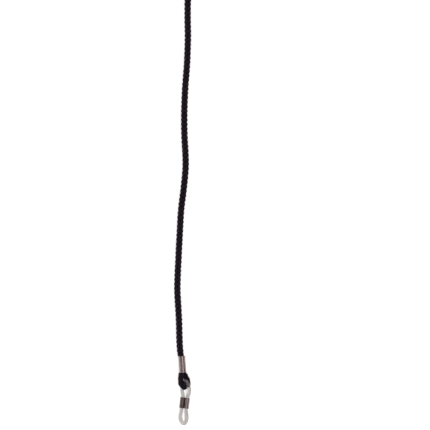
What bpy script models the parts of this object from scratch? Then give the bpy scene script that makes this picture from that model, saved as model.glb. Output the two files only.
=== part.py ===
"""Eyeglass retainer strap.

A braided cord is folded back into a small loop at each end, and a crimped metal sleeve holds each
fold. Every loop carries a closed rubber ring. A double-barrel metal bead slides along the ring's two
legs and sets how tightly the ring's far loop grips the temple arm of a pair of glasses.

The strap lies on a table, along Y, front end at -Y. Most of its cord is folded into a slim tied hank
before the rear end. The origin is midway between the two ring tips, on the table. Metres, +Z up.
"""

import math

import bmesh
import bpy
from mathutils import Euler, Vector

# Cord
CORD_RADIUS = 0.0014
CORD_POINT_SPACING = 0.0066
JOINT_GAP = 0.0003

# Crimp sleeve: a strip of sheet metal folded round both strands of the cord
SLEEVE_LENGTH = 0.0078
SLEEVE_WIDTH = 0.0033
SLEEVE_HEIGHT = 0.0038
SLEEVE_WALL = 0.0003
SLEEVE_CORNER = 0.0010
SLEEVE_TOP_CORNER = 0.0014
SLEEVE_SEAM = 0.0002
SLEEVE_RIM = 0.00007

# The front sleeve's frame, at its loop-side mouth and turned about Z. The strip is folded slightly to
# the right of the two strands.
SLEEVE_PLACE = Vector((-0.00096, -0.13022, 0.0))
SLEEVE_TURN = math.radians(3.9)
SLEEVE_SHIFT = 0.00018

# Loop of cord below the sleeve, in the sleeve's frame: (x, y, z, radius). The upper strand comes from
# the cord, goes round the hole and ends as the lower strand. Inside the sleeve both are pressed thin.
UPPER_STRAND_Z = 0.00268
LOWER_STRAND_Z = 0.00112
PRESSED_RADIUS = 0.00070
STRAND_BEND_Y = 0.0006
TAIL_END_Y = 0.0070
LOOP_POINT_COUNT = 52
CORD_LOOP = (
    (-0.00055, -0.00125, 0.00284, 0.00078),
    (-0.00125, -0.00280, 0.00304, 0.00095),
    (-0.00145, -0.00460, 0.00312, 0.00095),
    (-0.00090, -0.00630, 0.00312, 0.00092),
    (0.00030, -0.00725, 0.00307, 0.00090),
    (0.00150, -0.00705, 0.00255, 0.00090),
    (0.00240, -0.00600, 0.00140, 0.00095),
    (0.00250, -0.00470, 0.00098, 0.00095),
    (0.00200, -0.00320, 0.00098, 0.00095),
    (0.00115, -0.00175, 0.00098, 0.00090),
    (0.00040, -0.00065, 0.00102, 0.00076),
)

# Rubber ring: it swings about a vertical axis through the hole of the cord loop
SWING_PLACE = Vector((0.00055, -0.00460, 0.0))
RING_RADIUS = 0.00085
RING_POINT_COUNT = 72

# Double-barrel bead, in the ring's frame
BEAD_PLACE = Vector((0.00013, -0.01010, 0.00120))
BEAD_TURN = math.radians(-6.5)
BEAD_LENGTH = 0.0051
BARREL_RADIUS = 0.00120
BORE_RADIUS = 0.00096
LEG_SPACING = 0.00214
BEAD_RIM = 0.00016
LEG_REACH = 0.0031

# The ring's two bends, in the ring's frame: (x, y, z). The upper one goes from the left leg under the
# cord loop, up through its hole and down over its right side to the right leg. The lower one holds
# the temple arm.
UPPER_BEND = (
    (-0.00062, -0.00540, 0.00095),
    (-0.00080, -0.00370, 0.00086),
    (-0.00070, -0.00190, 0.00086),
    (-0.00032, -0.00050, 0.00125),
    (0.00012, 0.00012, 0.00230),
    (0.00095, 0.00015, 0.00350),
    (0.00200, -0.00075, 0.00415),
    (0.00245, -0.00240, 0.00435),
    (0.00235, -0.00420, 0.00370),
    (0.00203, -0.00585, 0.00215),
)
LOWER_BEND = (
    (0.00102, -0.01500, 0.00100),
    (0.00116, -0.01680, 0.00087),
    (0.00100, -0.01860, 0.00086),
    (0.00010, -0.01998, 0.00086),
    (-0.00114, -0.01935, 0.00086),
    (-0.00184, -0.01790, 0.00086),
    (-0.00190, -0.01640, 0.00087),
    (-0.00160, -0.01490, 0.00100),
)

# Route of the free cord, from the front sleeve to the hank and from the hank to the rear sleeve
CORD_RUN = (
    (-0.00166, -0.12244, 0.00190),
    (-0.00195, -0.12100, 0.00172),
    (-0.00214, -0.11940, 0.00153),
    (-0.00226, -0.11740, 0.00143),
    (-0.00239, -0.11480, 0.00140),
    (-0.00262, -0.10520, 0.00140),
    (-0.00316, -0.09570, 0.00140),
    (-0.00343, -0.09090, 0.00140),
    (-0.00323, -0.08370, 0.00140),
    (-0.00289, -0.07650, 0.00140),
    (-0.00255, -0.06940, 0.00140),
    (-0.00216, -0.06220, 0.00140),
    (-0.00162, -0.05260, 0.00140),
    (-0.00043, -0.04310, 0.00140),
    (0.00050, -0.03350, 0.00140),
    (0.00057, -0.02870, 0.00140),
    (0.00038, -0.02400, 0.00140),
    (0.00010, -0.01920, 0.00140),
    (-0.00009, -0.01440, 0.00140),
    (-0.00007, -0.00480, 0.00140),
    (0.00033, 0.00570, 0.00140),
    (0.00083, 0.01190, 0.00140),
    (0.00125, 0.01760, 0.00140),
    (0.00152, 0.02430, 0.00140),
    (0.00168, 0.03100, 0.00140),
    (0.00152, 0.03820, 0.00140),
    (0.00155, 0.04600, 0.00140),
    (0.00180, 0.05000, 0.00140),
    (0.00235, 0.05300, 0.00140),
)
CORD_LEAD_OUT = (
    (0.00372, 0.11080, 0.00295),
    (0.00300, 0.11350, 0.00215),
    (0.00205, 0.11700, 0.00150),
    (0.00160, 0.11980, 0.00150),
    (0.00149, 0.12244, 0.00190),
)

# Hank: the cord folded long and slim, two runs wide on each side and two high, with a tie round its waist
HANK_CENTRE = Vector((-0.0040, 0.0824, 0.0))
HANK_STRAIGHT = 0.0394
HANK_END_RADIUS = 0.0103
HANK_WAIST = 0.0060
HANK_HEIGHT = 0.0057
WAIST_BOTTOM = 0.0009
WAIST_TOP = 0.0051
WAIST_CUT_WIDTH = 0.0062
HANK_SIDE_STEPS = 16
HANK_END_STEPS = 14

# Tie round the hank's waist
TIE_WIDTH = 0.0050
TIE_THICKNESS = 0.0006
TIE_GAP = 0.0004
TIE_CORNER = 0.0012
TIE_TAIL_RADIUS = 0.0008
TIE_TAIL_LENGTH = 0.0080

CURVE_STEPS = 12
TUBE_SIDES = 2
LOOP_TUBE_SIDES = 3
WELD_DISTANCE = 1e-7
BEVEL_ANGLE = math.radians(50)
SMOOTH_ANGLE = math.radians(40)


def clear_scene():
    for existing in list(bpy.data.objects):
        bpy.data.objects.remove(existing, do_unlink=True)


def new_collection(name):
    collection = bpy.data.collections.new(name)
    bpy.context.scene.collection.children.link(collection)
    return collection


def new_material(name, colour, roughness, metallic=0.0, alpha=1.0):
    material = bpy.data.materials.new(name)
    material.use_nodes = True
    shader = material.node_tree.nodes["Principled BSDF"]
    shader.inputs["Base Color"].default_value = (*colour, 1.0)
    shader.inputs["Roughness"].default_value = roughness
    shader.inputs["Metallic"].default_value = metallic
    shader.inputs["Alpha"].default_value = alpha
    return material


def new_empty(name, collection, location, turn=0.0, parent=None):
    empty = bpy.data.objects.new(name, None)
    empty.empty_display_size = 0.003
    empty.location = location
    empty.rotation_euler = Euler((0.0, 0.0, turn))
    empty.parent = parent
    collection.objects.link(empty)
    return empty


def add_object(name, data, collection, material, parent=None):
    made = bpy.data.objects.new(name, data)
    made.parent = parent
    collection.objects.link(made)
    data.materials.clear()
    data.materials.append(material)
    return made


def smooth_curve(points, closed=False):
    """Points close together on the smooth curve that goes through the given points."""
    known = [Vector(point) for point in points]
    if closed:
        known = [known[-1], *known, known[0], known[1]]
    else:
        known = [2 * known[0] - known[1], *known, 2 * known[-1] - known[-2]]
    curve = []
    for a, b, c, d in zip(known, known[1:], known[2:], known[3:]):
        square = 2 * a - 5 * b + 4 * c - d
        cube = 3 * b - a - 3 * c + d
        for step in range(CURVE_STEPS):
            t = step / CURVE_STEPS
            curve.append(0.5 * (2 * b + (c - a) * t + square * t**2 + cube * t**3))
    curve.append(known[-2])
    return curve


def even_points(curve, count):
    """This many points, evenly spaced along the curve, its two ends among them."""
    lengths = [0.0]
    for first, second in zip(curve, curve[1:]):
        lengths.append(lengths[-1] + (second.xyz - first.xyz).length)
    places = [lengths[-1] * index / (count - 1) for index in range(count)]
    found = []
    segment = 0
    for place in places:
        while segment < len(curve) - 2 and lengths[segment + 1] < place:
            segment += 1
        share = (place - lengths[segment]) / (lengths[segment + 1] - lengths[segment])
        found.append(curve[segment].lerp(curve[segment + 1], min(share, 1.0)))
    return found


def curve_length(curve):
    return sum((second.xyz - first.xyz).length for first, second in zip(curve, curve[1:]))


def tube(name, points, radius, collection, material, parent=None, closed=False, sides=TUBE_SIDES):
    """A tube along the points. A point's fourth number, where it has one, is the tube's radius there."""
    data = bpy.data.curves.new(name, "CURVE")
    data.dimensions = "3D"
    data.bevel_depth = radius
    data.bevel_resolution = sides
    data.use_fill_caps = not closed
    spline = data.splines.new("POLY")
    spline.points.add(len(points) - 1)
    for target, point in zip(spline.points, points):
        target.co = (*point.xyz, 1.0)
        target.radius = point.w / radius if len(point) == 4 else 1.0
    spline.use_cyclic_u = closed
    return add_object(name, data, collection, material, parent)


def rounded_rectangle(width, height, corner, top_corner=None, steps=5):
    """Outline about the origin, counter-clockwise from the right end of its lower side."""
    outline = []
    for quarter, (side, up) in enumerate(((1, -1), (1, 1), (-1, 1), (-1, -1))):
        radius = top_corner if top_corner and up > 0 else corner
        centre = Vector((side * (width / 2 - radius), up * (height / 2 - radius)))
        for step in range(steps + 1):
            angle = math.radians(90 * (quarter - 1 + step / steps))
            outline.append(centre + radius * Vector((math.cos(angle), math.sin(angle))))
    return outline


def extruded(name, outlines, depth, collection, material, parent=None, upright=True):
    """A mesh of the flat outlines, extruded by depth about their plane. Upright outlines stand across Y."""
    data = bpy.data.curves.new(name, "CURVE")
    data.dimensions = "2D"
    data.fill_mode = "BOTH"
    data.extrude = depth / 2
    for outline in outlines:
        spline = data.splines.new("POLY")
        spline.points.add(len(outline) - 1)
        for target, point in zip(spline.points, outline):
            target.co = (point.x, point.y, 0.0, 1.0)
        spline.use_cyclic_u = True
    made = meshed(add_object(name, data, collection, material, parent))
    if upright:
        bmesh_edit(made.data, lambda mesh: bmesh.ops.rotate(
            mesh, verts=mesh.verts, matrix=Euler((math.radians(90), 0.0, 0.0)).to_matrix()
        ))
    return made


def bmesh_edit(data, edit):
    mesh = bmesh.new()
    mesh.from_mesh(data)
    edit(mesh)
    mesh.to_mesh(data)
    mesh.free()


def meshed(source):
    """The curve object as a mesh object of the same name, with its caps welded on."""
    graph = bpy.context.evaluated_depsgraph_get()
    graph.update()
    data = bpy.data.meshes.new_from_object(source.evaluated_get(graph))
    bmesh_edit(data, lambda mesh: bmesh.ops.remove_doubles(mesh, verts=mesh.verts, dist=WELD_DISTANCE))
    name, parent, collection = source.name, source.parent, source.users_collection[0]
    place = source.matrix_basis.copy()
    material = source.data.materials[0]
    bpy.data.objects.remove(source)
    made = add_object(name, data, collection, material, parent)
    made.matrix_basis = place
    return made


def bevel(piece, width, segments=2):
    modifier = piece.modifiers.new("Bevel", "BEVEL")
    modifier.width = width
    modifier.segments = segments
    modifier.limit_method = "ANGLE"
    modifier.angle_limit = BEVEL_ANGLE


def boolean(piece, other, operation="DIFFERENCE"):
    modifier = piece.modifiers.new(operation.title(), "BOOLEAN")
    modifier.operation = operation
    modifier.solver = "EXACT"
    modifier.object = other


def as_cutter(piece):
    piece.hide_render = True
    piece.display_type = "WIRE"
    return piece


def box(name, low, high, collection, material, parent=None):
    data = bpy.data.meshes.new(name)
    mesh = bmesh.new()
    bmesh.ops.create_cube(mesh, size=1.0)
    size = Vector(high) - Vector(low)
    centre = (Vector(high) + Vector(low)) / 2
    bmesh.ops.scale(mesh, vec=size, verts=mesh.verts)
    bmesh.ops.translate(mesh, vec=centre, verts=mesh.verts)
    mesh.to_mesh(data)
    mesh.free()
    return add_object(name, data, collection, material, parent)


def rod(name, radius, length, collection, material, parent=None, sides=12):
    """A cylinder along X about the origin."""
    data = bpy.data.meshes.new(name)
    mesh = bmesh.new()
    bmesh.ops.create_cone(
        mesh, cap_ends=True, segments=sides, radius1=radius, radius2=radius, depth=length
    )
    bmesh.ops.rotate(mesh, verts=mesh.verts, matrix=Euler((0.0, math.radians(90), 0.0)).to_matrix())
    mesh.to_mesh(data)
    mesh.free()
    return add_object(name, data, collection, material, parent)


def shade_smooth(piece):
    piece.data.shade_smooth()
    piece.data.set_sharp_from_angle(angle=SMOOTH_ANGLE)


def crimp_sleeve(end, parts, material, parent):
    """A strip pressed round both strands. Its edges meet at a seam in the middle of the flat underside."""
    outer = rounded_rectangle(SLEEVE_WIDTH, SLEEVE_HEIGHT, SLEEVE_CORNER, SLEEVE_TOP_CORNER)
    inner = rounded_rectangle(
        SLEEVE_WIDTH - 2 * SLEEVE_WALL,
        SLEEVE_HEIGHT - 2 * SLEEVE_WALL,
        SLEEVE_CORNER - SLEEVE_WALL,
        SLEEVE_TOP_CORNER - SLEEVE_WALL,
    )
    half_seam = SLEEVE_SEAM / 2
    outer_bottom = -SLEEVE_HEIGHT / 2
    inner_bottom = outer_bottom + SLEEVE_WALL
    outline = [
        Vector((half_seam, outer_bottom)),
        *outer,
        Vector((-half_seam, outer_bottom)),
        Vector((-half_seam, inner_bottom)),
        *reversed(inner),
        Vector((half_seam, inner_bottom)),
    ]
    sleeve = extruded(f"{end}_crimp_sleeve", [outline], SLEEVE_LENGTH, parts, material, parent)
    sleeve.location = (SLEEVE_SHIFT, SLEEVE_LENGTH / 2, SLEEVE_HEIGHT / 2)
    bevel(sleeve, SLEEVE_RIM, segments=1)
    shade_smooth(sleeve)


def cord_loop(end, parts, material, parent):
    """The end of the cord: down through the sleeve, round the loop and back up to the cut tail."""
    points = [
        (0.0, SLEEVE_LENGTH - JOINT_GAP, UPPER_STRAND_Z, PRESSED_RADIUS),
        (0.0, SLEEVE_LENGTH / 2, UPPER_STRAND_Z, PRESSED_RADIUS),
        (0.0, STRAND_BEND_Y, UPPER_STRAND_Z, PRESSED_RADIUS),
        *CORD_LOOP,
        (0.0, STRAND_BEND_Y, LOWER_STRAND_Z, PRESSED_RADIUS),
        (0.0, SLEEVE_LENGTH / 2, LOWER_STRAND_Z, PRESSED_RADIUS),
        (0.0, TAIL_END_Y, LOWER_STRAND_Z, PRESSED_RADIUS),
    ]
    route = even_points(smooth_curve(points), LOOP_POINT_COUNT)
    name = f"{end}_cord_loop"
    return tube(name, route, PRESSED_RADIUS, parts, material, parent, sides=LOOP_TUBE_SIDES)


def leg_points(side, downwards):
    """Points along one straight leg of the ring, where it goes through the bead."""
    turn = Euler((0.0, 0.0, BEAD_TURN))
    heights = [LEG_REACH * share for share in (1.0, 0.5, 0.0, -0.5, -1.0)]
    if not downwards:
        heights.reverse()
    points = []
    for height in heights:
        point = Vector((side * LEG_SPACING / 2, height, 0.0))
        point.rotate(turn)
        points.append(BEAD_PLACE + point)
    return points


def rubber_ring(end, parts, material, parent):
    """One closed ring: up the left leg, round the upper bend, down the right leg, round the lower bend."""
    route = [*leg_points(-1, False), *UPPER_BEND, *leg_points(1, True), *LOWER_BEND]
    points = even_points(smooth_curve(route, closed=True), RING_POINT_COUNT + 1)[:-1]
    return tube(f"{end}_rubber_ring", points, RING_RADIUS, parts, material, parent, closed=True)


def barrel_outline(steps=14):
    """Two round barrels side by side, joined where they meet."""
    half = LEG_SPACING / 2
    meeting = math.acos(half / BARREL_RADIUS)
    start = math.pi - meeting
    outline = []
    for side in (1, -1):
        for step in range(steps + 1):
            angle = -start + 2 * start * step / steps
            corner = Vector((math.cos(angle), math.sin(angle))) * BARREL_RADIUS
            outline.append(side * (corner + Vector((half, 0.0))))
        outline.pop()
    return outline


def bore_outline(side, steps=20):
    angles = [2 * math.pi * step / steps for step in range(steps)]
    centre = Vector((side * LEG_SPACING / 2, 0.0))
    return [centre + BORE_RADIUS * Vector((math.cos(angle), math.sin(angle))) for angle in angles]


def slider_bead(end, parts, material, parent):
    outlines = [barrel_outline(), bore_outline(1), bore_outline(-1)]
    bead = extruded(f"{end}_slider_bead", outlines, BEAD_LENGTH, parts, material, parent)
    bead.location = BEAD_PLACE
    bead.rotation_euler = Euler((0.0, 0.0, BEAD_TURN))
    bevel(bead, BEAD_RIM / 2, segments=1)
    shade_smooth(bead)


def end_fitting(end, parts, materials, place, turn):
    """Sleeve, cord loop, ring and bead of one end, in a frame at the sleeve's loop-side mouth."""
    frame = new_empty(f"{end}_end", parts, place, turn)
    crimp_sleeve(end, parts, materials["nickel"], frame)
    cord_loop(end, parts, materials["cord"], frame)
    swing = new_empty(f"{end}_swing_axis", parts, SWING_PLACE, -SLEEVE_TURN, frame)
    rubber_ring(end, parts, materials["rubber"], swing)
    slider_bead(end, parts, materials["gunmetal"], swing)


def free_cord(parts, material):
    routes = {"cord_run": CORD_RUN, "cord_lead_out": CORD_LEAD_OUT}
    for name, route in routes.items():
        curve = smooth_curve(route)
        trimmed = trim_ends(curve, name == "cord_run", name == "cord_lead_out")
        count = max(6, round(curve_length(trimmed) / CORD_POINT_SPACING) + 1)
        tube(name, even_points(trimmed, count), CORD_RADIUS, parts, material)


def trim_ends(curve, at_start, at_end):
    """The curve without its last stretch before a sleeve, so that a gap is left between them."""
    ends = (curve[0], curve[-1])
    kept = curve
    if at_start:
        kept = [point for point in kept if (point - ends[0]).length > JOINT_GAP]
    if at_end:
        kept = [point for point in kept if (point - ends[1]).length > JOINT_GAP]
    return kept


def hank_outline():
    """Round ends joined by two sides that draw in to the waist."""
    half_straight = HANK_STRAIGHT / 2
    outline = []
    for way in (1, -1):
        for step in range(HANK_SIDE_STEPS):
            along = -half_straight + HANK_STRAIGHT * step / HANK_SIDE_STEPS
            draw = math.cos(math.pi * along / HANK_STRAIGHT) ** 2
            side = HANK_END_RADIUS + (HANK_WAIST - HANK_END_RADIUS) * draw
            outline.append(way * Vector((side, along)))
        for step in range(HANK_END_STEPS):
            angle = math.pi * step / HANK_END_STEPS
            corner = HANK_END_RADIUS * Vector((math.cos(angle), math.sin(angle)))
            outline.append(way * (corner + Vector((0.0, half_straight))))
    return outline


def cord_hank(parts, cutters, material):
    hank = extruded("cord_hank", [hank_outline()], HANK_HEIGHT, parts, material, upright=False)
    hank.location = HANK_CENTRE + Vector((0.0, 0.0, HANK_HEIGHT / 2))
    reach = 2 * HANK_END_RADIUS
    half = WAIST_CUT_WIDTH / 2
    for name, low, high in (
        ("waist_cutter_below", -HANK_HEIGHT, WAIST_BOTTOM),
        ("waist_cutter_above", WAIST_TOP, 2 * HANK_HEIGHT),
    ):
        cutter = box(name, (-reach, -half, low), (reach, half, high), cutters, material)
        cutter.location = HANK_CENTRE
        boolean(hank, as_cutter(cutter))


def hank_tie(parts, cutters, material):
    """A flat band round the waist, with its twisted ends lying on top."""
    inner_width = 2 * (HANK_WAIST + TIE_GAP)
    inner_height = WAIST_TOP - WAIST_BOTTOM + 2 * TIE_GAP
    middle = (WAIST_TOP + WAIST_BOTTOM) / 2
    outlines = [
        rounded_rectangle(inner_width + 2 * TIE_THICKNESS, inner_height + 2 * TIE_THICKNESS, TIE_CORNER),
        rounded_rectangle(inner_width, inner_height, TIE_CORNER - TIE_THICKNESS),
    ]
    band = extruded("hank_tie", outlines, TIE_WIDTH, parts, material)
    band.location = HANK_CENTRE + Vector((0.0, 0.0, middle))
    tail = rod("tie_tail", TIE_TAIL_RADIUS, TIE_TAIL_LENGTH, cutters, material)
    top = middle + inner_height / 2 + TIE_THICKNESS
    tail.location = HANK_CENTRE + Vector((0.0, 0.0, top + TIE_TAIL_RADIUS / 2))
    boolean(band, as_cutter(tail), "UNION")


def main():
    clear_scene()
    parts = new_collection("eyeglass_retainer_strap")
    cutters = new_collection("cutters")
    materials = {
        "cord": new_material("black_braid", (0.012, 0.011, 0.014), 0.6),
        "nickel": new_material("crimp_nickel", (0.62, 0.60, 0.58), 0.22, metallic=1.0),
        "rubber": new_material("clear_rubber", (0.82, 0.82, 0.80), 0.3, alpha=0.75),
        "gunmetal": new_material("bead_gunmetal", (0.16, 0.14, 0.14), 0.25, metallic=1.0),
        "tie": new_material("tie_plastic", (0.9, 0.9, 0.88), 0.5),
    }
    rear_place = Vector((-SLEEVE_PLACE.x, -SLEEVE_PLACE.y, 0.0))
    end_fitting("front", parts, materials, SLEEVE_PLACE, SLEEVE_TURN)
    end_fitting("rear", parts, materials, rear_place, SLEEVE_TURN + math.pi)
    free_cord(parts, materials["cord"])
    cord_hank(parts, cutters, materials["cord"])
    hank_tie(parts, cutters, materials["tie"])


main()
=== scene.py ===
"""Visual model of the eyeglass retainer strap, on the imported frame. Metres, +Z up."""

import math

import bpy
import numpy as np
from mathutils import Matrix, Vector


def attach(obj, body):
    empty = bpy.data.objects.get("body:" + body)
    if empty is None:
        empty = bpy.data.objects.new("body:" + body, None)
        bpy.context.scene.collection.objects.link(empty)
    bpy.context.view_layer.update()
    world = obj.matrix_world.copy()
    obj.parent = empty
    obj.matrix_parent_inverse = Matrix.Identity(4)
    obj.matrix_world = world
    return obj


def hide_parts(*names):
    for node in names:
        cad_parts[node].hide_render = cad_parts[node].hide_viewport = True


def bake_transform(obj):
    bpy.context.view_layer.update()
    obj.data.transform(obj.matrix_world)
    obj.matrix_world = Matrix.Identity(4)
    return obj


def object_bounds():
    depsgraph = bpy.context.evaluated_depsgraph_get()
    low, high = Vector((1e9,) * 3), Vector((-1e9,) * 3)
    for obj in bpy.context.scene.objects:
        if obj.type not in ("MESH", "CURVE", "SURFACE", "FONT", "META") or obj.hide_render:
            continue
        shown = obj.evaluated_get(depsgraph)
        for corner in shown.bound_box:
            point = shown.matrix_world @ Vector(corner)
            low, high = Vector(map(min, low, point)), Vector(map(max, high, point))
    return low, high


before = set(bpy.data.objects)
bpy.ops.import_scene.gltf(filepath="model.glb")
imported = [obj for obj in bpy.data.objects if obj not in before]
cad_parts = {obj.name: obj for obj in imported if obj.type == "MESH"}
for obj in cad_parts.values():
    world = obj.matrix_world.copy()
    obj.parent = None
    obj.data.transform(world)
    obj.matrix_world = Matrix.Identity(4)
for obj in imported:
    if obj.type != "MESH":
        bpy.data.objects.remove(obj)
cad_low, cad_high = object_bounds()
scene = bpy.context.scene

MM = 0.001

# Camera: straight down on the strap's front half
VIEW_CENTRE = (0.01458, -0.05503)
VIEW_WIDTH = 0.2055
CAMERA_HEIGHT = 1.0
SENSOR_WIDTH = 36.0

# Studio light by its angle about Y: 0 is the left horizon, 0.5 straight up, 1 the right horizon
STUDIO_STRENGTH = 2.6
STUDIO_GLOW = (
    (0.00, (0.42, 0.405, 0.395)),
    (0.14, (0.39, 0.375, 0.365)),
    (0.30, (0.25, 0.235, 0.23)),
    (0.40, (0.16, 0.15, 0.145)),
    (0.505, (0.16, 0.15, 0.145)),
    (0.53, (1.00, 0.965, 0.97)),
    (0.605, (1.00, 0.955, 0.965)),
    (0.635, (0.15, 0.105, 0.115)),
    (0.78, (0.10, 0.07, 0.08)),
    (1.00, (0.12, 0.09, 0.10)),
)
FLOOR_GLOW = 0.50
FLOOR_DROP = 0.0002  # below the CAD's lowest point
FLOOR_RADII = (0.0, 0.4, 1.2, 2.4, 3.0)
FLOOR_SIDES = 96
SWEEP_RADIUS = 0.6  # of the quarter circle from the floor up to its wall
SWEEP_STEPS = 8
WALL_TOP = 1.1

# Cord: lengths in metres, shares of the cord's own half size
CORD_RADIUS = 0.0014
BRAID_PITCH = 0.0085
BRAID_CARRIERS = 4  # strands each way
BRAID_DRIFT = ((0.07, 0.083, 0.0), (0.05, 0.031, 1.0))  # turn, wavelength and start of each
STRAND_DEPTH = 0.76  # from the cord's middle to a strand's
STRAND_THICK = 0.27
CORE_SHARE = 0.66
CORE_SIDES = 10
CORE_SKIP = 3  # the core takes every third point of the strands
# Spacing of points, a strand's half width, how far it rises and dips, and its sides
RUN_BRAID = (0.00034, 0.41, 0.20, 6)
LOOP_BRAID = (0.00020, 0.45, 0.15, 8)
CARRIER_SHIFT, WAY_SHIFT = 0.7, 0.31  # moves the yarn pattern from strand to strand

# End fittings, in metres
SLEEVE_PLACE = (-0.00096, -0.13022, 0.0)
SLEEVE_SHIFT = 0.00018
SLEEVE_TURN = math.radians(3.9)
SLEEVE_LENGTH = 0.0078
SLEEVE_WIDTH = 0.0033
SLEEVE_HEIGHT = 0.0038
SLEEVE_WALL = 0.0003
SLEEVE_CORNER = 0.0010
SLEEVE_TOP_CORNER = 0.0014
SLEEVE_SEAM = 0.0002
SLEEVE_CORNER_STEPS, SLEEVE_FLAT_STEPS = 12, 6
SWING_PLACE = (0.00055, -0.00460, 0.0)
RING_RADIUS = 0.00085
BEAD_PLACE = (0.00013, -0.01010, 0.00120)
BEAD_TURN = math.radians(-6.5)
BEAD_LENGTH = 0.0051
BARREL_RADIUS = 0.00123
BORE_RADIUS = 0.00096
LEG_SPACING = 0.00214
LEG_REACH = 0.0031
RING_STEP = 0.00020
RING_SIDES = 24
RING_RIPPLE, RING_RIPPLE_LENGTH = 0.012, 0.0051

# The sleeve's rounded rims and the dip where it was pressed, in millimetres
SLEEVE_EDGE, SLEEVE_INSET = 0.10, 0.06
PRESS_DEPTH, PRESS_LENGTH, PRESS_MIDDLE = 0.020, 5.2, 3.9

# The bead's barrels, in metres
BARREL_RIM = 0.00012
BARREL_WAIST = 0.00002
BARREL_SIDES = 56

# The loop of cord in the sleeve's frame: (x, y, z, half width, half height), in millimetres
LOOP_ROUTE = (
    (0.00, 7.50, 2.68, 0.96, 0.70),
    (0.00, 3.90, 2.68, 0.96, 0.70),
    (0.03, 1.00, 2.70, 0.94, 0.72),
    (-0.04, 0.42, 2.73, 0.88, 0.74),
    (-0.30, -0.15, 2.77, 0.98, 0.79),
    (-0.80, -1.05, 2.86, 1.16, 0.88),
    (-0.98, -2.50, 3.00, 1.22, 0.95),
    (-1.00, -4.20, 3.08, 1.34, 0.98),
    (-0.60, -5.62, 3.05, 1.55, 0.98),
    (0.28, -6.45, 2.90, 1.66, 1.00),
    (1.30, -6.32, 2.45, 1.54, 1.05),
    (2.13, -5.45, 1.90, 1.28, 1.15),
    (2.28, -4.40, 1.50, 1.16, 1.22),
    (1.76, -3.10, 1.35, 1.26, 1.18),
    (1.24, -1.80, 1.22, 1.18, 1.05),
    (0.80, -0.75, 1.12, 1.12, 0.90),
    (0.30, 0.15, 1.10, 1.10, 0.76),
    (0.05, 1.20, 1.12, 1.10, 0.70),
    (0.00, 3.90, 1.12, 1.10, 0.70),
    (0.00, 7.00, 1.12, 1.10, 0.70),
)

# The ring's bends, in the ring's frame: (x, y, z, radius), in millimetres
UPPER_BEND = (
    (-0.80, -5.40, 0.95, 0.90),
    (-1.05, -3.70, 0.86, 0.88),
    (-0.75, -1.90, 0.86, 0.74),
    (-0.12, -0.20, 1.10, 0.62),
    (0.20, 0.72, 2.20, 0.54),
    (0.85, 0.66, 3.25, 0.62),
    (1.55, -0.35, 3.95, 0.76),
    (2.02, -1.80, 4.12, 0.86),
    (2.40, -3.30, 3.72, 0.90),
    (2.38, -4.60, 2.98, 0.90),
    (2.06, -5.95, 2.02, 0.90),
)
LOWER_BEND = (
    (1.02, -15.00, 1.00, 0.90),
    (1.16, -16.80, 0.90, 0.93),
    (1.00, -18.60, 0.90, 0.93),
    (0.10, -19.98, 0.90, 0.93),
    (-1.14, -19.35, 0.90, 0.93),
    (-1.84, -17.90, 0.90, 0.93),
    (-1.90, -16.40, 0.90, 0.93),
    (-1.60, -14.90, 1.00, 0.90),
)

# Route of the free cord in metres: front sleeve to hank, then hank to rear sleeve
CORD_RUN = (
    (-0.00166, -0.12244, 0.00190),
    (-0.00195, -0.12100, 0.00172),
    (-0.00214, -0.11940, 0.00153),
    (-0.00226, -0.11740, 0.00143),
    (-0.00239, -0.11480, 0.00140),
    (-0.00262, -0.10520, 0.00140),
    (-0.00316, -0.09570, 0.00140),
    (-0.00343, -0.09090, 0.00140),
    (-0.00323, -0.08370, 0.00140),
    (-0.00289, -0.07650, 0.00140),
    (-0.00255, -0.06940, 0.00140),
    (-0.00216, -0.06220, 0.00140),
    (-0.00162, -0.05260, 0.00140),
    (-0.00043, -0.04310, 0.00140),
    (0.00050, -0.03350, 0.00140),
    (0.00057, -0.02870, 0.00140),
    (0.00038, -0.02400, 0.00140),
    (0.00010, -0.01920, 0.00140),
    (-0.00009, -0.01440, 0.00140),
    (-0.00007, -0.00480, 0.00140),
    (0.00033, 0.00570, 0.00140),
    (0.00083, 0.01190, 0.00140),
    (0.00125, 0.01760, 0.00140),
    (0.00152, 0.02430, 0.00140),
    (0.00168, 0.03100, 0.00140),
    (0.00152, 0.03820, 0.00140),
    (0.00155, 0.04600, 0.00140),
    (0.00180, 0.05000, 0.00140),
    (0.00235, 0.05300, 0.00140),
)
CORD_LEAD_OUT = (
    (0.00372, 0.11080, 0.00295),
    (0.00300, 0.11350, 0.00215),
    (0.00205, 0.11700, 0.00150),
    (0.00160, 0.11980, 0.00150),
    (0.00149, 0.12244, 0.00190),
)
INTO_SLEEVE, INSIDE_Z = 0.0016, 0.0021
SQUEEZE_END, SQUEEZE_WIDE, SQUEEZE_HIGH = 0.00045, 0.26, 0.10
ROUTE_SPACING = 0.0008
ROUTE_SOFTENING, RING_SOFTENING = 8, 6

# The hank: columns of cord either side of its middle, in millimetres
HANK_CENTRE = (-4.0, 82.4)
HANK_STRAIGHT = 39.4
INNER_COLUMN, OUTER_COLUMN = 5.9, 8.9
WAIST_DRAW = 4.4
LOWER_LAYER, UPPER_LAYER = 1.4, 4.2
LOWER_WAIST, UPPER_WAIST = 1.98, 4.02
WAIST_FLAT, WAIST_WIDE = 0.26, 0.03
STRAIGHT_STEPS, ARC_STEPS = 26, 16
EARLY_SPREAD = 1.6  # the last bend moves out sooner than it turns

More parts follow.
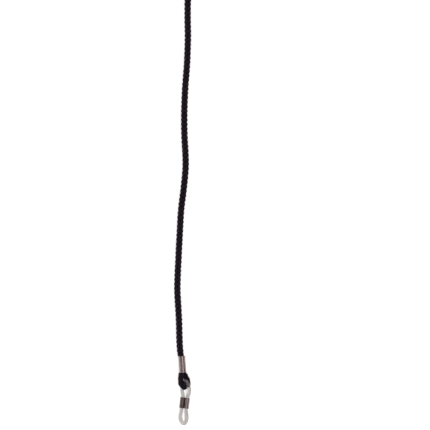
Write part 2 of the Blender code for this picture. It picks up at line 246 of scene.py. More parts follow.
# The hank's tie, in millimetres
TIE_HALF_WIDE, TIE_LOW, TIE_HIGH, TIE_CORNER = 6.22, 0.52, 5.50, 1.30
BAND_HALF_WIDE, BAND_HALF_THICK = 2.3, 0.17
WIRE_RISE, WIRE_HALF_WIDE, WIRE_HALF_HIGH = 0.10, 0.45, 0.28
TWIST_LENGTH, TWIST_TURNS, TWIST_HEIGHT = 8.4, 3.2, 6.30
TWIST_RADIUS, TWIST_SPLAY, TWIST_SQUASH = 0.36, 0.25, 0.8
TAIL_HALF_WIDE, TAIL_HALF_THICK = 0.62, 0.16
TWIST_POINTS = 90


def curve_through(points, closed=False, steps=12):
    """Rows on the Catmull-Rom curve through the given ones; the first three numbers are a place."""
    known = np.array(points, float)
    if closed:
        known = np.vstack([known[-1], known, known[0], known[1]])
    else:
        known = np.vstack([2 * known[0] - known[1], known, 2 * known[-1] - known[-2]])
    t = (np.arange(steps) / steps)[:, None]
    rows = []
    for a, b, c, d in zip(known, known[1:], known[2:], known[3:]):
        square = (2 * a - 5 * b + 4 * c - d) * t**2
        cube = (3 * b - a - 3 * c + d) * t**3
        rows.append(0.5 * (2 * b + (c - a) * t + square + cube))
    rows.append(known[-2][None])
    return np.vstack(rows)


def distances(places):
    """How far along the line each place is."""
    gaps = np.linalg.norm(np.diff(places, axis=0), axis=1)
    return np.concatenate([[0.0], np.cumsum(gaps)])


def evenly(rows, step):
    """The rows again, about this far apart, and how far along each is."""
    along = distances(rows[:, :3])
    places = np.linspace(0.0, along[-1], max(2, int(round(along[-1] / step)) + 1))
    columns = [np.interp(places, along, rows[:, k]) for k in range(rows.shape[1])]
    return np.stack(columns, axis=1), places


def softened(rows, times):
    """Evens out small kinks, keeping both ends."""
    rows = rows.copy()
    for _ in range(times):
        rows[1:-1] = 0.25 * rows[:-2] + 0.5 * rows[1:-1] + 0.25 * rows[2:]
    return rows


def unit(vectors):
    return vectors / np.maximum(np.linalg.norm(vectors, axis=-1, keepdims=True), 1e-12)


def upright_frames(centres):
    """Tangent, side and up of each point of a line that never stands upright."""
    tangent = unit(np.gradient(centres, axis=0))
    side = unit(np.cross(tangent, np.array([0.0, 0.0, 1.0])))
    return tangent, side, np.cross(side, tangent)


def carried_frames(centres):
    """Tangent and two normals of each point, carried along the line without twist."""
    tangent = unit(np.gradient(centres, axis=0))
    first = np.zeros_like(centres)
    guess = np.array([0.0, 0.0, 1.0]) if abs(tangent[0][2]) < 0.8 else np.array([1.0, 0.0, 0.0])
    first[0] = unit(np.cross(tangent[0], guess))
    for i in range(1, len(centres)):
        kept = first[i - 1] - tangent[i] * (first[i - 1] @ tangent[i])
        first[i] = unit(kept)
    return tangent, first, np.cross(tangent, first)


class Shape:
    """Points, faces and notes gathered for one mesh. A note is what along_strand reads."""

    def __init__(self):
        self.points, self.faces, self.notes, self.count = [], [], [], 0

    def add(self, points, faces, notes):
        self.points.append(points)
        self.faces += [tuple(self.count + i for i in face) for face in faces]
        self.notes.append(notes)
        self.count += len(points)

    def tube(
        self, centres, across, upward, wide, thick, sides, closed=False, start=0.0, power=1.0
    ):
        """A tube with an oval section. wide and thick are its half sizes: one number, or many."""
        count = len(centres)
        turn = np.linspace(0.0, 2 * np.pi, sides, endpoint=False)
        c, s = np.cos(turn), np.sin(turn)
        c, s = np.sign(c) * np.abs(c) ** power, np.sign(s) * np.abs(s) ** power
        wide = np.broadcast_to(np.asarray(wide, float), (count,))[:, None, None]
        thick = np.broadcast_to(np.asarray(thick, float), (count,))[:, None, None]
        ring = centres[:, None] + wide * c[None, :, None] * across[:, None]
        ring = ring + thick * s[None, :, None] * upward[:, None]
        along = start + distances(centres)
        notes = np.stack(
            [
                np.repeat(along, sides),
                np.tile(np.cos(turn), count),
                np.tile(np.sin(turn), count),
            ],
            axis=1,
        )
        faces = []
        rings = count if closed else count - 1
        for i in range(rings):
            a, b = i * sides, ((i + 1) % count) * sides
            for j in range(sides):
                k = (j + 1) % sides
                faces.append((a + j, a + k, b + k, b + j))
        if not closed:
            faces.append(tuple(reversed(range(sides))))
            faces.append(tuple(range((count - 1) * sides, count * sides)))
        self.add(ring.reshape(-1, 3), faces, notes)

    def object(self, name, material, smooth_angle=None):
        mesh = bpy.data.meshes.new(name)
        points = np.vstack(self.points)
        mesh.from_pydata(points.tolist(), [], self.faces)
        mesh.validate()
        notes = mesh.attributes.new("along", "FLOAT_VECTOR", "POINT")
        notes.data.foreach_set("vector", np.vstack(self.notes).astype(np.float32).ravel())
        mesh.update()
        mesh.materials.append(material)
        made = bpy.data.objects.new(name, mesh)
        scene.collection.objects.link(made)
        mesh.shade_smooth()
        if smooth_angle:
            mesh.set_sharp_from_angle(angle=math.radians(smooth_angle))
        return made


def placed(rows, place, turn):
    """Rows in metres, turned about Z and moved."""
    c, s = math.cos(turn), math.sin(turn)
    out = rows.copy()
    out[:, 0] = c * rows[:, 0] - s * rows[:, 1] + place[0]
    out[:, 1] = s * rows[:, 0] + c * rows[:, 1] + place[1]
    out[:, 2] = rows[:, 2] + place[2]
    return out


def half_turned(rows):
    out = rows.copy()
    out[:, :2] *= -1
    return out


# ---------------------------------------------------------------- materials

REFLECTION_PATCH_RATE = 8.0  # how fast the base colour lightens along the notes; this carries the painted reflection on the bead's right barrel
PAINTED_REFLECTION_BARREL = 0.045  # added to the notes of the bead's right barrel: a painted reflection that makes that barrel lighter


def new_material(name):
    material = bpy.data.materials.new(name)
    material.use_nodes = True
    tree = material.node_tree
    return material, tree, tree.nodes["Principled BSDF"]


def add_node(tree, kind, inputs=None, **settings):
    made = tree.nodes.new(kind)
    for key, value in settings.items():
        setattr(made, key, value)
    for key, value in (inputs or {}).items():
        if isinstance(value, bpy.types.NodeSocket):
            tree.links.new(value, made.inputs[key])
        else:
            made.inputs[key].default_value = value
    return made


def ramp(tree, source, stops):
    made = add_node(tree, "ShaderNodeValToRGB", {"Fac": source})
    elements = made.color_ramp.elements
    while len(elements) < len(stops):
        elements.new(0.5)
    for element, (place, colour) in zip(elements, stops):
        element.position = place
        element.color = (*colour, 1.0)
    return made.outputs["Color"]


def grey(value):
    return (value, value, value)


def along_strand(tree, scale):
    """The note that each tube carries: metres along it, and its section's direction."""
    note = add_node(tree, "ShaderNodeAttribute", attribute_name="along")
    return add_node(
        tree, "ShaderNodeVectorMath", {0: note.outputs["Vector"], 1: scale}, operation="MULTIPLY"
    ).outputs["Vector"]


def braid_material():
    material, tree, shader = new_material("black_polyester_braid")
    fibres = add_node(
        tree, "ShaderNodeTexNoise",
        {
            "Vector": along_strand(tree, (260.0, 3.4, 3.4)),
            "Scale": 1.0, "Detail": 3.0, "Roughness": 0.6,
        },
    ).outputs["Fac"]
    where = add_node(tree, "ShaderNodeTexCoord").outputs["Object"]
    wear = add_node(
        tree, "ShaderNodeTexNoise", {"Vector": where, "Scale": 190.0, "Detail": 2.0}
    ).outputs["Fac"]
    dark = ramp(tree, fibres, [(0.32, (0.0018, 0.0008, 0.0026)), (0.70, (0.0120, 0.0052, 0.0145))])
    worn = ramp(tree, wear, [(0.35, grey(0.80)), (0.70, grey(1.20))])
    mixed = add_node(
        tree, "ShaderNodeMix", {0: 1.0, 6: dark, 7: worn}, data_type="RGBA", blend_type="MULTIPLY"
    )
    tree.links.new(mixed.outputs[2], shader.inputs["Base Color"])
    rough = add_node(
        tree, "ShaderNodeMapRange", {"Value": fibres, "To Min": 0.42, "To Max": 0.62}
    ).outputs["Result"]
    tree.links.new(rough, shader.inputs["Roughness"])
    bump = add_node(
        tree, "ShaderNodeBump", {"Height": fibres, "Strength": 0.55, "Distance": 0.00008}
    ).outputs["Normal"]
    tree.links.new(bump, shader.inputs["Normal"])
    shader.inputs["Specular IOR Level"].default_value = 0.11
    shader.inputs["Sheen Weight"].default_value = 0.03
    shader.inputs["Sheen Roughness"].default_value = 0.45
    shader.inputs["Sheen Tint"].default_value = (0.72, 0.62, 0.74, 1.0)
    return material


def metal_material(name, bright, light, dark, roughness):
    """Drawn and plated metal: faint streaks along it, uneven plating, a little tarnish, and a
    painted reflection that lightens the colour with the first note.
    """
    material, tree, shader = new_material(name)
    streaks = add_node(
        tree, "ShaderNodeTexNoise",
        {
            "Vector": along_strand(tree, (240.0, 9.0, 9.0)),
            "Scale": 1.0, "Detail": 3.0, "Roughness": 0.65,
        },
    ).outputs["Fac"]
    where = add_node(tree, "ShaderNodeTexCoord").outputs["Object"]
    stain = add_node(
        tree, "ShaderNodeTexNoise",
        {"Vector": where, "Scale": 620.0, "Detail": 4.0, "Roughness": 0.6},
    ).outputs["Fac"]
    # painted reflection: the colour lightens with the first note, most on the bead's right barrel,
    # which reaches the brightest stop
    reflection_patch = add_node(
        tree, "ShaderNodeSeparateXYZ", {"Vector": along_strand(tree, (REFLECTION_PATCH_RATE, 0.0, 0.0))}
    )
    shade = add_node(
        tree, "ShaderNodeMath", {0: stain, 1: reflection_patch.outputs["X"]}, operation="ADD"
    ).outputs["Value"]
    colour = ramp(tree, shade, [(0.32, dark), (0.58, light), (0.95, bright)])
    tree.links.new(colour, shader.inputs["Base Color"])
    rough = add_node(
        tree, "ShaderNodeMapRange",
        {"Value": streaks, "To Min": roughness * 0.75, "To Max": roughness * 1.35},
    ).outputs["Result"]
    tree.links.new(rough, shader.inputs["Roughness"])
    bump = add_node(
        tree, "ShaderNodeBump", {"Height": streaks, "Strength": 0.25, "Distance": 0.00002}
    ).outputs["Normal"]
    tree.links.new(bump, shader.inputs["Normal"])
    shader.inputs["Metallic"].default_value = 1.0
    return material


def rubber_material():
    material, tree, shader = new_material("clear_silicone_rubber")
    where = add_node(tree, "ShaderNodeTexCoord").outputs["Object"]
    cloud = add_node(
        tree, "ShaderNodeTexNoise", {"Vector": where, "Scale": 420.0, "Detail": 3.0}
    ).outputs["Fac"]
    colour = ramp(tree, cloud, [(0.30, (0.64, 0.645, 0.635)), (0.70, (0.72, 0.72, 0.71))])
    tree.links.new(colour, shader.inputs["Base Color"])
    rough = add_node(
        tree, "ShaderNodeMapRange", {"Value": cloud, "To Min": 0.22, "To Max": 0.38}
    ).outputs["Result"]
    tree.links.new(rough, shader.inputs["Roughness"])
    bump = add_node(
        tree, "ShaderNodeBump", {"Height": cloud, "Strength": 0.15, "Distance": 0.00005}
    ).outputs["Normal"]
    tree.links.new(bump, shader.inputs["Normal"])
    shader.inputs["Transmission Weight"].default_value = 0.90
    shader.inputs["IOR"].default_value = 1.41
    tree.links.new(
        add_node(
            tree, "ShaderNodeVolumeAbsorption", {"Color": (0.62, 0.62, 0.60, 1.0), "Density": 300.0}
        ).outputs["Volume"],
        tree.nodes["Material Output"].inputs["Volume"],
    )
    return material


def tie_material():
    material, tree, shader = new_material("twist_tie_plastic")
    where = add_node(tree, "ShaderNodeTexCoord").outputs["Object"]
    mottle = add_node(
        tree, "ShaderNodeTexNoise", {"Vector": where, "Scale": 900.0, "Detail": 3.0}
    ).outputs["Fac"]
    colour = ramp(tree, mottle, [(0.3, (0.50, 0.50, 0.48)), (0.7, (0.62, 0.62, 0.60))])
    tree.links.new(colour, shader.inputs["Base Color"])
    bump = add_node(
        tree, "ShaderNodeBump", {"Height": mottle, "Strength": 0.3, "Distance": 0.00005}
    ).outputs["Normal"]
    tree.links.new(bump, shader.inputs["Normal"])
    shader.inputs["Roughness"].default_value = 0.42
    return material


def floor_material():
    material, tree, shader = new_material("studio_paper")
    where = add_node(tree, "ShaderNodeTexCoord").outputs["Object"]
    grain = add_node(
        tree, "ShaderNodeTexNoise", {"Vector": where, "Scale": 900.0, "Detail": 3.0}
    ).outputs["Fac"]
    colour = ramp(tree, grain, [(0.3, grey(0.90)), (0.7, grey(0.92))])
    tree.links.new(colour, shader.inputs["Base Color"])
    shader.inputs["Roughness"].default_value = 0.95
    shader.inputs["Specular IOR Level"].default_value = 0.1
    shader.inputs["Emission Color"].default_value = (1.0, 1.0, 1.0, 1.0)
    shader.inputs["Emission Strength"].default_value = FLOOR_GLOW
    return material


BRAID = braid_material()
NICKEL = metal_material(
    "crimp_nickel_plate", (0.30, 0.25, 0.245), (0.26, 0.215, 0.21), (0.20, 0.16, 0.155), 0.18
)
# the bead's metal: its brightest colour shows mostly on the right barrel, as a painted reflection
GUNMETAL = metal_material(
    "bead_gunmetal_plate", (0.24, 0.205, 0.202), (0.115, 0.094, 0.093), (0.085, 0.068, 0.066), 0.24
)
RUBBER = rubber_material()
TIE = tie_material()


# ---------------------------------------------------------------- camera, floor and light

def make_camera():
    data = bpy.data.cameras.new("camera")
    data.sensor_width = SENSOR_WIDTH
    data.lens = SENSOR_WIDTH * (CAMERA_HEIGHT - CORD_RADIUS) / VIEW_WIDTH
    data.clip_start = 0.05
    data.clip_end = 50.0
    made = bpy.data.objects.new("camera", data)
    made.location = (*VIEW_CENTRE, CAMERA_HEIGHT)
    scene.collection.objects.link(made)
    scene.camera = made


def make_floor():
    """A round sheet of paper on the table, swept up into a low wall far away."""
    radii = list(FLOOR_RADII)
    heights = [0.0] * len(radii)
    for step in range(1, SWEEP_STEPS + 1):
        angle = math.radians(90 * step / SWEEP_STEPS)
        radii.append(FLOOR_RADII[-1] + SWEEP_RADIUS * math.sin(angle))
        heights.append(SWEEP_RADIUS - SWEEP_RADIUS * math.cos(angle))
    radii.append(FLOOR_RADII[-1] + SWEEP_RADIUS)
    heights.append(WALL_TOP)
    sides = FLOOR_SIDES
    level = cad_low.z - FLOOR_DROP
    points, faces = [(0.0, 0.0, level)], []
    for radius, height in zip(radii[1:], heights[1:]):
        for j in range(sides):
            angle = 2 * math.pi * j / sides
            points.append((radius * math.cos(angle), radius * math.sin(angle), level + height))
    for j in range(sides):
        faces.append((0, 1 + j, 1 + (j + 1) % sides))
    for i in range(len(radii) - 2):
        a, b = 1 + i * sides, 1 + (i + 1) * sides
        for j in range(sides):
            k = (j + 1) % sides
            faces.append((a + j, b + j, b + k, a + k))
    mesh = bpy.data.meshes.new("studio_floor")
    mesh.from_pydata(points, [], faces)
    mesh.shade_smooth()
    mesh.materials.append(floor_material())
    made = bpy.data.objects.new("studio_floor", mesh)
    scene.collection.objects.link(made)


def make_light():
    """A studio lit by the angle about Y: a bright strip overhead, dimmer left, darkest right."""
    world = bpy.data.worlds.new("studio")
    world.use_nodes = True
    tree = world.node_tree
    toward = add_node(tree, "ShaderNodeTexCoord").outputs["Generated"]
    parts = add_node(tree, "ShaderNodeSeparateXYZ", {"Vector": toward})
    angle = add_node(
        tree, "ShaderNodeMath", {0: parts.outputs["X"], 1: parts.outputs["Z"]}, operation="ARCTAN2"
    ).outputs["Value"]
    share = add_node(
        tree, "ShaderNodeMapRange",
        {"Value": angle, "From Min": -math.pi / 2, "From Max": math.pi / 2},
    ).outputs["Result"]
    glow = ramp(tree, share, STUDIO_GLOW)
    back = tree.nodes["Background"]
    tree.links.new(glow, back.inputs["Color"])
    back.inputs["Strength"].default_value = STUDIO_STRENGTH
    scene.world = world
    scene.view_settings.view_transform = "Standard"
    scene.view_settings.look = "None"


make_camera()
make_floor()
make_light()


# ---------------------------------------------------------------- cord

def braid(name, rows, strand):
    """Eight flat strands round a core. Rows are (x, y, z, half width, half height) in metres."""
    spacing, strand_wide, wave, sides = strand
    fine, along = evenly(rows, spacing)
    centres, wide, high = fine[:, :3], fine[:, 3], fine[:, 4]
    _, side, up = upright_frames(centres)
    shape = Shape()
    phase = 2 * np.pi * along / BRAID_PITCH
    drift = sum(
        turn * np.sin(2 * np.pi * along / length + start) for turn, length, start in BRAID_DRIFT
    )
    for way in (1, -1):
        for carrier in range(BRAID_CARRIERS):
            angle = way * phase + 2 * np.pi * carrier / BRAID_CARRIERS + drift
            depth = STRAND_DEPTH + way * wave * np.cos(BRAID_CARRIERS * phase)
            c, s = np.cos(angle)[:, None], np.sin(angle)[:, None]
            middle = centres + (wide * depth)[:, None] * c * side
            middle = middle + (high * depth)[:, None] * s * up
            outward = unit(c * side / wide[:, None] + s * up / high[:, None])
            tangent = unit(np.gradient(middle, axis=0))
            outward = unit(outward - tangent * (outward * tangent).sum(1, keepdims=True))
            across = np.cross(tangent, outward)
            mean = np.sqrt(wide * high)
            shape.tube(
                middle, across, outward,
                strand_wide * mean, STRAND_THICK * mean, sides,
                start=CARRIER_SHIFT * carrier + (WAY_SHIFT if way > 0 else 0.0),
            )
    coarse = slice(None, None, CORE_SKIP)
    shape.tube(
        centres[coarse], side[coarse], up[coarse],
        CORE_SHARE * wide[coarse], CORE_SHARE * high[coarse], CORE_SIDES,
    )
    return shape.object(name, BRAID)


def eased(t):
    return t * t * (3 - 2 * t)


def hank_rows():
    """Outer lower turn, inner lower turn, inner upper turn, then up the outer upper column."""
    middle_x, middle_y = HANK_CENTRE
    half = HANK_STRAIGHT / 2
    round_half = CORD_RADIUS / MM

    def straight(side, column, layer, waist):
        rows = []
        for step in range(STRAIGHT_STEPS + 1):
            along = -half + HANK_STRAIGHT * step / STRAIGHT_STEPS
            draw = math.cos(math.pi * along / HANK_STRAIGHT) ** 2
            rows.append((
                middle_x + side * (column - WAIST_DRAW * draw),
                middle_y + side * along,
                layer + (waist - layer) * draw,
                round_half + WAIST_WIDE * draw,
                round_half - WAIST_FLAT * draw,
            ))
        return rows

    def arc(end, radius, height):
        """Half a turn, from the right at the far end and from the left at the near end."""
        rows = []
        for step in range(1, ARC_STEPS):
            t = step / ARC_STEPS
            angle = math.pi * t + (0.0 if end > 0 else math.pi)
            reach = radius(t)
            rows.append((
                middle_x + reach * math.cos(angle),
                middle_y + end * half + reach * math.sin(angle),
                height(t),
                round_half,
                round_half,
            ))
        return rows

    quarter = math.pi / 2
    spread = OUTER_COLUMN - INNER_COLUMN
    rise = UPPER_LAYER - LOWER_LAYER
    lower, upper = (LOWER_LAYER, LOWER_WAIST), (UPPER_LAYER, UPPER_WAIST)

    def narrowing(t):
        return INNER_COLUMN + spread * math.cos(quarter * eased(t))

    def widening(t):
        return INNER_COLUMN + spread * math.sin(quarter * eased(min(1.0, EARLY_SPREAD * t)))

    def rising(t):
        return LOWER_LAYER + rise * math.sin(quarter * eased(t))

    return [
        *straight(1, OUTER_COLUMN, *lower),
        *arc(1, lambda t: OUTER_COLUMN, lambda t: LOWER_LAYER),
        *straight(-1, OUTER_COLUMN, *lower),
        *arc(-1, narrowing, lambda t: LOWER_LAYER),
        *straight(1, INNER_COLUMN, *lower),
        *arc(1, lambda t: INNER_COLUMN, lambda t: LOWER_LAYER),
        *straight(-1, INNER_COLUMN, *lower),
        *arc(-1, lambda t: INNER_COLUMN, rising),
        *straight(1, INNER_COLUMN, *upper),
        *arc(1, lambda t: INNER_COLUMN, lambda t: UPPER_LAYER),
        *straight(-1, INNER_COLUMN, *upper),
        *arc(-1, widening, lambda t: UPPER_LAYER),
        *straight(1, OUTER_COLUMN, *upper),
    ]


def main_cord():
    """From inside the front sleeve, along the run, round the hank and into the rear sleeve."""
    c, s = math.cos(SLEEVE_TURN), math.sin(SLEEVE_TURN)
    mouth, far_mouth = CORD_RUN[0], CORD_LEAD_OUT[-1]
    inside = (mouth[0] + INTO_SLEEVE * s, mouth[1] - INTO_SLEEVE * c, INSIDE_Z)
    far_inside = (far_mouth[0] - INTO_SLEEVE * s, far_mouth[1] + INTO_SLEEVE * c, INSIDE_Z)
    route = [
        *((*point, CORD_RADIUS, CORD_RADIUS) for point in (inside, *CORD_RUN)),
        *(tuple(value * MM for value in row) for row in hank_rows()),
        *((*point, CORD_RADIUS, CORD_RADIUS) for point in (*CORD_LEAD_OUT, far_inside)),
    ]
    even, _ = evenly(curve_through(route, steps=6), ROUTE_SPACING)
    even = softened(even, ROUTE_SOFTENING)
    # squeezed where it goes into a sleeve
    along = distances(even[:, :3])
    from_end = np.minimum(along, along[-1] - along)
    depth = np.clip((INTO_SLEEVE + SQUEEZE_END - from_end) / SQUEEZE_END, 0, 1)
    even[:, 3] *= 1 - SQUEEZE_WIDE * depth
    even[:, 4] *= 1 - SQUEEZE_HIGH * depth
    return even


cord_rows = main_cord()
cord = braid("braided_cord", cord_rows, RUN_BRAID)


def cord_loop(end, rows):
    piece = braid(f"{end}_cord_loop_braid", rows, LOOP_BRAID)
    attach(piece, "strap")
    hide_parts(f"{end}_cord_loop")


loop_rows = curve_through(LOOP_ROUTE, steps=12) * MM
loop_rows = placed(loop_rows, SLEEVE_PLACE, SLEEVE_TURN)
cord_loop("front", loop_rows)
cord_loop("rear", half_turned(loop_rows))


# ---------------------------------------------------------------- hank tie

def rounded_path(half_wide, low, high, corner, steps=7):
    """Round the waist in the plane across Y: points and outward directions, closed."""
    points, outward = [], []
    middle = (low + high) / 2
    half_high = (high - low) / 2
    for quarter, (side, up) in enumerate(((1, -1), (1, 1), (-1, 1), (-1, -1))):
        for step in range(steps + 1):
            angle = math.radians(90 * (quarter - 1 + step / steps))
            direction = (math.cos(angle), 0.0, math.sin(angle))
            points.append((
                side * (half_wide - corner) + corner * direction[0],
                0.0,
                middle + up * (half_high - corner) + corner * direction[2],
            ))
            outward.append(direction)
    return np.array(points), np.array(outward)


def hank_tie():
    shape = Shape()
    middle = np.array([HANK_CENTRE[0] * MM, HANK_CENTRE[1] * MM, 0.0])
    points, outward = rounded_path(TIE_HALF_WIDE, TIE_LOW, TIE_HIGH, TIE_CORNER)
    points = points * MM + middle
    across = np.tile(np.array([0.0, 1.0, 0.0]), (len(points), 1))
    shape.tube(
        points, across, outward,
        BAND_HALF_WIDE * MM, BAND_HALF_THICK * MM, 16, closed=True, power=0.6,
    )
    shape.tube(
        points + outward * WIRE_RISE * MM, across, outward,
        WIRE_HALF_WIDE * MM, WIRE_HALF_HIGH * MM, 10, closed=True,
    )
    # the two ends, twisted round each other and splayed at their tips
    x = np.linspace(-TWIST_LENGTH / 2, TWIST_LENGTH / 2, TWIST_POINTS)
    for start in (0.0, math.pi):
        angle = start + 2 * math.pi * TWIST_TURNS * x / TWIST_LENGTH
        near_tip = np.clip(np.abs(x) / (TWIST_LENGTH / 2) - 0.75, 0, 1) * 4
        grow = TWIST_RADIUS + TWIST_SPLAY * near_tip
        centre = np.stack([x, grow * np.cos(angle), grow * np.sin(angle) * TWIST_SQUASH], axis=1)
        centre[:, 2] += TWIST_HEIGHT + 0.1 * (x / TWIST_LENGTH) ** 2
        spread = np.stack([np.zeros_like(x), -np.sin(angle), np.cos(angle)], axis=1)
        centre = centre * MM + middle
        tangent = unit(np.gradient(centre, axis=0))
        wide_way = unit(spread - tangent * (spread * tangent).sum(1, keepdims=True))
        thin_way = np.cross(tangent, wide_way)
        shape.tube(
            centre, wide_way, thin_way, TAIL_HALF_WIDE * MM, TAIL_HALF_THICK * MM, 10, power=0.7
        )
    return shape.object("hank_twist_tie", TIE)


tie = hank_tie()
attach(tie, "strap")
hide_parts("hank_tie")

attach(cord, "strap")
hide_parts("cord_run", "cord_hank", "cord_lead_out")


# ---------------------------------------------------------------- crimp sleeves

def sleeve_section():
    """The outline from one side of the seam round to the other: places and outward directions."""
    steps, flat_steps = SLEEVE_CORNER_STEPS, SLEEVE_FLAT_STEPS
    half_wide, half_high = SLEEVE_WIDTH / 2, SLEEVE_HEIGHT / 2
    low, top = SLEEVE_CORNER, SLEEVE_TOP_CORNER
    half_seam = SLEEVE_SEAM / 2
    places, outward = [], []

    def run(a, b, direction, count):
        for step in range(count):
            t = step / count
            places.append((a[0] + (b[0] - a[0]) * t, a[1] + (b[1] - a[1]) * t))
            outward.append(direction)

    run((half_seam, -half_high), (half_wide - low, -half_high), (0.0, -1.0), flat_steps)
    flats = (
        ((half_wide, -half_high + low), (half_wide, half_high - top), (1.0, 0.0)),
        ((half_wide - top, half_high), (-half_wide + top, half_high), (0.0, 1.0)),
        ((-half_wide, half_high - top), (-half_wide, -half_high + low), (-1.0, 0.0)),
        ((-half_wide + low, -half_high), (-half_seam, -half_high), (0.0, -1.0)),
    )
    for quarter, (side, up) in enumerate(((1, -1), (1, 1), (-1, 1), (-1, -1))):
        corner = top if up > 0 else low
        middle = (side * (half_wide - corner), up * (half_high - corner))
        for step in range(steps):
            angle = math.radians(90 * (quarter - 1 + step / steps))
            direction = (math.cos(angle), math.sin(angle))
            places.append((middle[0] + corner * direction[0], middle[1] + corner * direction[1]))
            outward.append(direction)
        run(*flats[quarter], flat_steps)
    places.append((-half_seam, -half_high))
    outward.append((0.0, -1.0))
    return np.array(places), np.array(outward)


def crimp_sleeve(end, turn_round):
    places, outward = sleeve_section()
    around = len(places)
    # millimetres along the sleeve, closer together at its rims
    stations = [0.0, 0.04, 0.10, 0.2, *np.linspace(0.4, 7.4, 40), 7.6, 7.7, 7.76, 7.8]
    rows, notes = [], []
    for y in stations:
        near = min(y, SLEEVE_LENGTH / MM - y)
        share = 1.0
        if near < SLEEVE_EDGE:
            share = math.sqrt(max(0.0, 1 - (1 - near / SLEEVE_EDGE) ** 2))
        inset = SLEEVE_INSET * (1 - share) * MM
        # pressed a little where the jaws closed it
        wave = PRESS_DEPTH * math.cos(2 * math.pi * (y - PRESS_MIDDLE) / PRESS_LENGTH) * MM
        outer = places - outward * inset + np.stack(
            [np.zeros(around), wave * np.clip(outward[:, 1], 0, 1)], axis=1
        )
        inner = places - outward * (SLEEVE_WALL - inset)
        loop = np.vstack([outer, inner[::-1]])
        station = np.stack(
            [loop[:, 0], np.full(len(loop), y * MM), loop[:, 1] + SLEEVE_HEIGHT / 2], axis=1
        )
        rows.append(station)
        directions = np.vstack([outward, outward[::-1]])
        notes.append(
            np.stack([np.full(len(loop), y * MM), directions[:, 0], directions[:, 1]], axis=1)
        )
    count = 2 * around
    faces = []
    for i in range(len(rows) - 1):
        a, b = i * count, (i + 1) * count
        for j in range(count):
            k = (j + 1) % count
            faces.append((a + j, b + j, b + k, a + k))
    last = (len(rows) - 1) * count
    for j in range(around - 1):
        faces.append((j, j + 1, count - 2 - j, count - 1 - j))
        faces.append((last + j + 1, last + j, last + count - 1 - j, last + count - 2 - j))
    points = np.vstack(rows) + np.array([SLEEVE_SHIFT, 0.0, 0.0])
    points = placed(points, SLEEVE_PLACE, SLEEVE_TURN)
    if turn_round:
        points = half_turned(points)
    shape = Shape()
    shape.add(points, faces, np.vstack(notes))
    piece = shape.object(f"{end}_crimp_sleeve_shell", NICKEL, smooth_angle=40)
    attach(piece, "strap")
    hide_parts(f"{end}_crimp_sleeve")


crimp_sleeve("front", False)
crimp_sleeve("rear", True)


# ---------------------------------------------------------------- rubber rings and beads

def in_world(point, turn_round):
    """A point of the ring's frame, in metres, in the row frame."""
    c, s = math.cos(SLEEVE_TURN), math.sin(SLEEVE_TURN)
    x = SLEEVE_PLACE[0] + c * SWING_PLACE[0] - s * SWING_PLACE[1] + point[0]
    y = SLEEVE_PLACE[1] + s * SWING_PLACE[0] + c * SWING_PLACE[1] + point[1]
    return (-x, -y, point[2]) if turn_round else (x, y, point[2])


def leg_points(side, downwards):
    shares = (1.0, 0.5, 0.0, -0.5, -1.0)
    if not downwards:
        shares = shares[::-1]
    c, s = math.cos(BEAD_TURN), math.sin(BEAD_TURN)
    points = []
    for share in shares:
        x, y = side * LEG_SPACING / 2, LEG_REACH * share
        points.append((
            BEAD_PLACE[0] + c * x - s * y,
            BEAD_PLACE[1] + s * x + c * y,
            BEAD_PLACE[2],
            RING_RADIUS,
        ))
    return points


def rubber_ring(end, turn_round):
    steps = 12
    upper = [tuple(value * MM for value in point) for point in UPPER_BEND]
    lower = [tuple(value * MM for value in point) for point in LOWER_BEND]
    left, right = leg_points(-1, False), leg_points(1, True)
    route = curve_through([*left, *upper, *right, *lower], closed=True, steps=steps)[:-1]
    first = 2 * steps
    second = (len(left) + len(upper) + 2) * steps
    world = np.array([(*in_world(point, turn_round), point[3]) for point in route])
    parts = {
        "upper": world[first:second + 1],
        "lower": np.vstack([world[second:], world[:first + 1]]),
    }
    for which, rows in parts.items():
        even, along = evenly(rows, RING_STEP)
        even = softened(even, RING_SOFTENING)
        centres = even[:, :3]
        _, first_way, second_way = carried_frames(centres)
        ripple = RING_RIPPLE * np.sin(2 * np.pi * along / RING_RIPPLE_LENGTH)
        radius = even[:, 3] * (1 + ripple)
        shape = Shape()
        shape.tube(centres, first_way, second_way, radius, radius, RING_SIDES)
        piece = shape.object(f"{end}_rubber_ring_{which}", RUBBER)
        if which == "upper":
            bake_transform(piece)
        else:
            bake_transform(piece)
        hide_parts(f"{end}_rubber_ring")


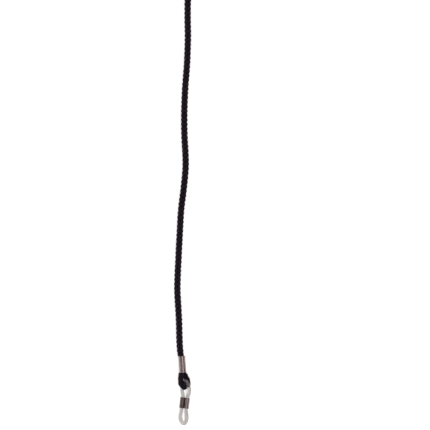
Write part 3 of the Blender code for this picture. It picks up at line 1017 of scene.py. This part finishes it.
def barrel(name, side):
    """One barrel along Y: rolled rims at both ends and a faint waist between them."""
    half = BEAD_LENGTH / 2
    outer, inner, rim = BARREL_RADIUS, BORE_RADIUS, BARREL_RIM
    profile = [(inner, -half + rim), (inner + 0.3 * rim, -half + 0.3 * rim), (inner + rim, -half)]
    for step in range(6):
        angle = math.radians(90 * step / 5)
        profile.append((outer - rim + rim * math.sin(angle), -half + rim - rim * math.cos(angle)))
    for step in range(1, 12):
        t = step / 12
        dip = BARREL_WAIST * math.sin(math.pi * t)
        profile.append((outer - dip, -half + rim + (BEAD_LENGTH - 2 * rim) * t))
    for step in range(6):
        angle = math.radians(90 * step / 5)
        profile.append((outer - rim + rim * math.cos(angle), half - rim + rim * math.sin(angle)))
    profile += [(inner + rim, half), (inner + 0.3 * rim, half - 0.3 * rim), (inner, half - rim)]
    for step in range(1, 8):
        profile.append((inner, half - rim - (BEAD_LENGTH - 2 * rim) * step / 8))
    sides, count = BARREL_SIDES, len(profile)
    points, notes, faces = [], [], []
    for j in range(sides):
        angle = 2 * math.pi * (j + 0.5) / sides
        c, s = math.cos(angle), math.sin(angle)
        for radius, y in profile:
            points.append((side * LEG_SPACING / 2 + radius * c, y, radius * s))
            notes.append((y, c, s))
    for j in range(sides):
        a, b = j * count, ((j + 1) % sides) * count
        for i in range(count):
            k = (i + 1) % count
            faces.append((a + i, a + k, b + k, b + i))
    shape = Shape()
    shape.add(np.array(points), faces, np.array(notes))
    return shape.object(name, GUNMETAL)


def slider_bead(end, turn_round):
    one = barrel(f"{end}_slider_bead_shell", -1)
    other = barrel(f"{end}_other_barrel", 1)
    modifier = one.modifiers.new("Join", "BOOLEAN")
    modifier.operation = "UNION"
    modifier.solver = "EXACT"
    modifier.object = other
    graph = bpy.context.evaluated_depsgraph_get()
    graph.update()
    mesh = bpy.data.meshes.new_from_object(one.evaluated_get(graph))
    one.modifiers.clear()
    one.data = mesh
    bpy.data.objects.remove(other)
    # notes for the colour: the right barrel's first number is raised, which paints a reflection on
    # that barrel
    notes = []
    for vertex in mesh.vertices:
        x, y, z = vertex.co
        side = 1 if x > 0 else -1
        turn = math.atan2(z, x - side * LEG_SPACING / 2)
        notes.append((y + (PAINTED_REFLECTION_BARREL if side > 0 else 0.0), math.cos(turn), math.sin(turn)))
    mesh.attributes["along"].data.foreach_set("vector", np.array(notes, np.float32).ravel())
    turn = BEAD_TURN + (math.pi if turn_round else 0.0)
    place = Vector(in_world(BEAD_PLACE, turn_round))
    mesh.transform(Matrix.Translation(place) @ Matrix.Rotation(turn, 4, "Z"))
    mesh.shade_smooth()
    mesh.set_sharp_from_angle(angle=math.radians(40))
    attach(one, f"{end}_bead")
    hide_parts(f"{end}_slider_bead")


for end_name, turned in (("front", False), ("rear", True)):
    rubber_ring(end_name, turned)
    slider_bead(end_name, turned)
